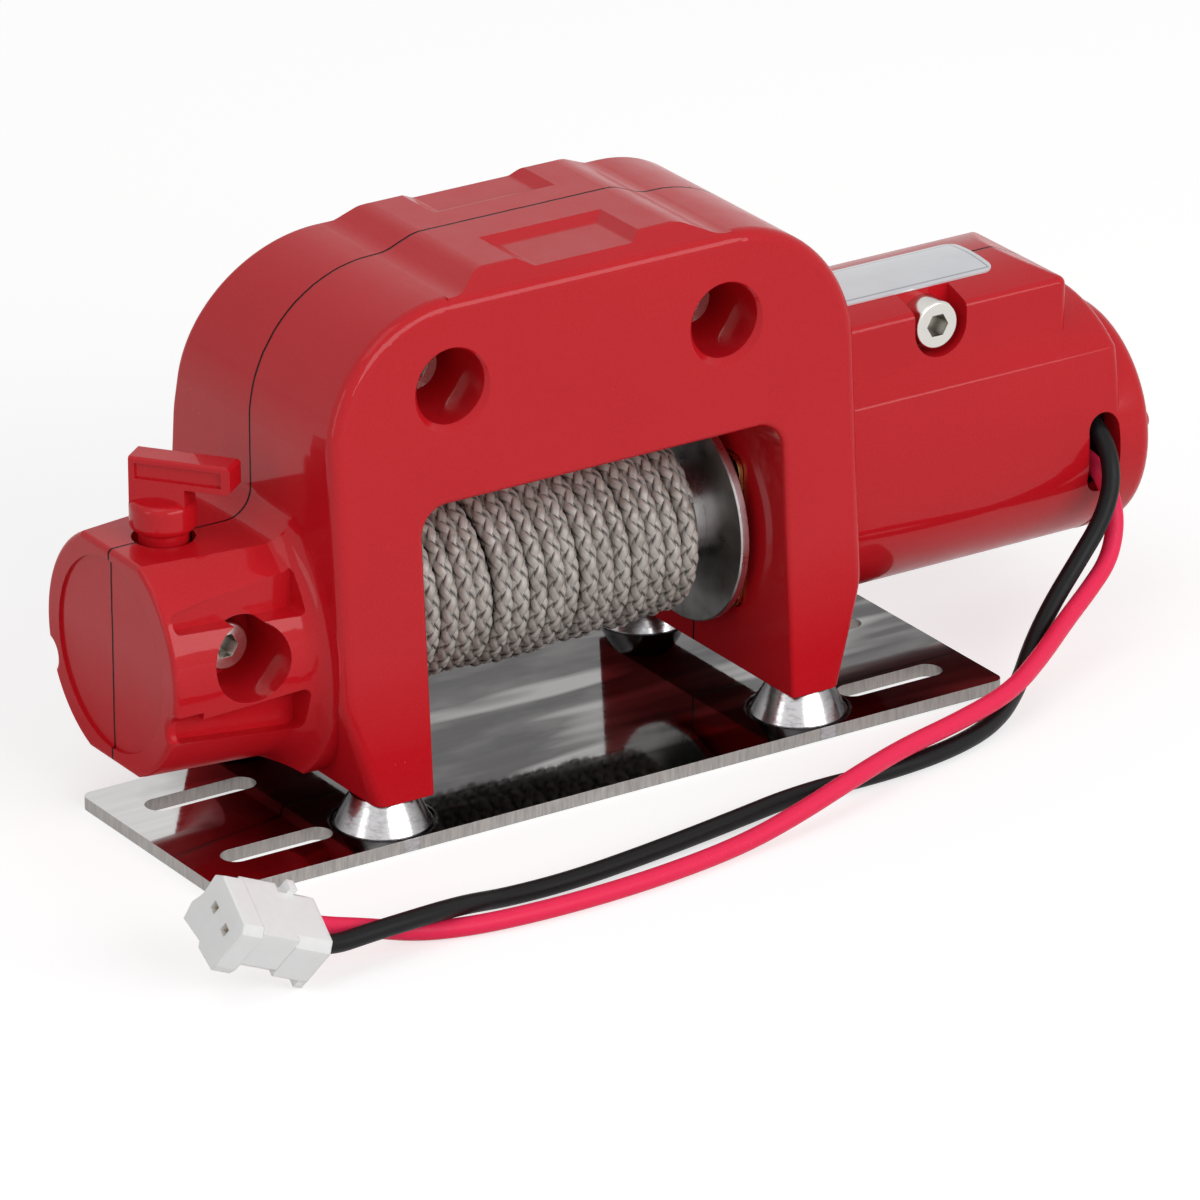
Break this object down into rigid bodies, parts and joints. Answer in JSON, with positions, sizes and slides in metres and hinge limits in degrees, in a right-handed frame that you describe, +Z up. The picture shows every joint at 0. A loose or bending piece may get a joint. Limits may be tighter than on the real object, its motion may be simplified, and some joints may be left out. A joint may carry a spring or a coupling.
{
  "type": "electric drum winch",
  "caption": "Small electric winch with a drum of braided rope under a cast arch, a clutch lever, a geared motor and wires to a plug, on a slotted steel plate.",
  "frame": {"origin": "underside of the mounting plate, at the middle of its length and in the seam plane of the two housing halves", "axes": "+X along the drum from the clutch end to the motor end, -Y out of the rope window, +Z up"},
  "size_m": [0.1155, 0.0555, 0.0492],
  "materials": {
    "red_paint": "gloss",
    "plate_steel": "polished",
    "screw_steel": "satin",
    "label": "gloss",
    "bronze": "satin",
    "brass": "satin",
    "drum_aluminium": "turned",
    "rope": "braided",
    "gear_steel": "satin",
    "gear_plastic": "matt",
    "motor_steel": "satin",
    "motor_plastic": "matt",
    "copper": "satin",
    "magnet": "matt",
    "black_silicone": "satin",
    "red_silicone": "satin",
    "nylon": "semi-gloss",
    "gold_contact": "plated"
  },
  "bodies": {
    "housing": {"mounting_plate": "plate_steel", "foot_screws": "screw_steel", "front_housing": "red_paint", "rear_housing": "red_paint", "housing_screws": "screw_steel", "rear_screws": "screw_steel", "label_plate": "label", "left_bush": "bronze", "right_bearing": "brass", "gearbox_plate": "gear_steel", "ring_gear": "gear_plastic", "motor_can": "motor_steel", "motor_magnets": "magnet", "motor_front_bearing": "bronze", "motor_end_bell": "motor_plastic", "motor_terminals": "copper", "black_wire": "black_silicone", "red_wire": "red_silicone", "connector_housing": "nylon", "connector_contacts": "gold_contact"},
    "drum": {"drum_barrel": "drum_aluminium", "drum_flange_left": "drum_aluminium", "drum_flange_right": "drum_aluminium", "rope_inner_layers": "rope", "rope_outer_winding": "rope"},
    "output_shaft": {"drive_shaft": "gear_steel", "output_carrier": "gear_steel", "output_planet_pins": "gear_steel"},
    "middle_stage": {"middle_carrier": "gear_plastic", "input_planet_pins": "gear_steel", "output_sun_gear": "gear_plastic"},
    "rotor": {"motor_shaft": "gear_steel", "motor_armature": "magnet", "motor_commutator": "copper", "motor_sun_gear": "brass"},
    "clutch_lever": {"clutch_lever": "red_paint", "clutch_cam_pin": "gear_steel"},
    "shift_fork": {"shift_fork": "gear_steel"},
    "dog_collar": {"dog_collar": "gear_steel"},
    "output_planet_a": {"output_planet_a": "gear_steel"},
    "output_planet_b": {"output_planet_b": "gear_steel"},
    "output_planet_c": {"output_planet_c": "gear_steel"},
    "input_planet_a": {"input_planet_a": "gear_plastic"},
    "input_planet_b": {"input_planet_b": "gear_plastic"},
    "input_planet_c": {"input_planet_c": "gear_plastic"}
  },
  "joints": [
    {"name": "drum_spin", "type": "hinge", "parent": "housing", "child": "drum", "pos_m": [0, 0, 0.0169], "axis": [1, 0, 0], "continuous": true},
    {"name": "output_spin", "type": "hinge", "parent": "housing", "child": "output_shaft", "pos_m": [0, 0, 0.0169], "axis": [1, 0, 0], "continuous": true},
    {"name": "middle_spin", "type": "hinge", "parent": "housing", "child": "middle_stage", "pos_m": [0, 0, 0.0169], "axis": [1, 0, 0], "continuous": true},
    {"name": "rotor_spin", "type": "hinge", "parent": "housing", "child": "rotor", "pos_m": [0, 0, 0.0169], "axis": [1, 0, 0], "continuous": true},
    {"name": "output_planet_a_spin", "type": "hinge", "parent": "output_shaft", "child": "output_planet_a", "pos_m": [0, 0.00473, 0.0169], "axis": [1, 0, 0], "continuous": true},
    {"name": "output_planet_b_spin", "type": "hinge", "parent": "output_shaft", "child": "output_planet_b", "pos_m": [0, -0.00236, 0.02099], "axis": [1, 0, 0], "continuous": true},
    {"name": "output_planet_c_spin", "type": "hinge", "parent": "output_shaft", "child": "output_planet_c", "pos_m": [0, -0.00236, 0.01281], "axis": [1, 0, 0], "continuous": true},
    {"name": "input_planet_a_spin", "type": "hinge", "parent": "middle_stage", "child": "input_planet_a", "pos_m": [0, 0.00473, 0.0169], "axis": [1, 0, 0], "continuous": true},
    {"name": "input_planet_b_spin", "type": "hinge", "parent": "middle_stage", "child": "input_planet_b", "pos_m": [0, -0.00236, 0.02099], "axis": [1, 0, 0], "continuous": true},
    {"name": "input_planet_c_spin", "type": "hinge", "parent": "middle_stage", "child": "input_planet_c", "pos_m": [0, -0.00236, 0.01281], "axis": [1, 0, 0], "continuous": true},
    {"name": "clutch_lever_turn", "type": "hinge", "parent": "housing", "child": "clutch_lever", "pos_m": [-0.0359, 0, 0.0267], "axis": [0, 0, 1], "range_deg": [-90, 0]},
    {"name": "shift_fork_slide", "type": "slide", "parent": "housing", "child": "shift_fork", "axis": [1, 0, 0], "range_m": [-0.00128, 0]},
    {"name": "dog_collar_slide", "type": "slide", "parent": "output_shaft", "child": "dog_collar", "axis": [1, 0, 0], "range_m": [-0.00128, 0]}
  ],
  "couplings": [
    {"joint": "output_spin", "follows": "drum_spin", "ratio": 1},
    {"joint": "middle_spin", "follows": "drum_spin", "ratio": 4.5},
    {"joint": "rotor_spin", "follows": "drum_spin", "ratio": 20.25},
    {"joint": "output_planet_a_spin", "follows": "drum_spin", "ratio": -2.8},
    {"joint": "output_planet_b_spin", "follows": "drum_spin", "ratio": -2.8},
    {"joint": "output_planet_c_spin", "follows": "drum_spin", "ratio": -2.8},
    {"joint": "input_planet_a_spin", "follows": "drum_spin", "ratio": -12.6},
    {"joint": "input_planet_b_spin", "follows": "drum_spin", "ratio": -12.6},
    {"joint": "input_planet_c_spin", "follows": "drum_spin", "ratio": -12.6},
    {"joint": "shift_fork_slide", "follows": "clutch_lever_turn", "m_per_rad": 0.00081028},
    {"joint": "dog_collar_slide", "follows": "clutch_lever_turn", "m_per_rad": 0.00081028}
  ]
}
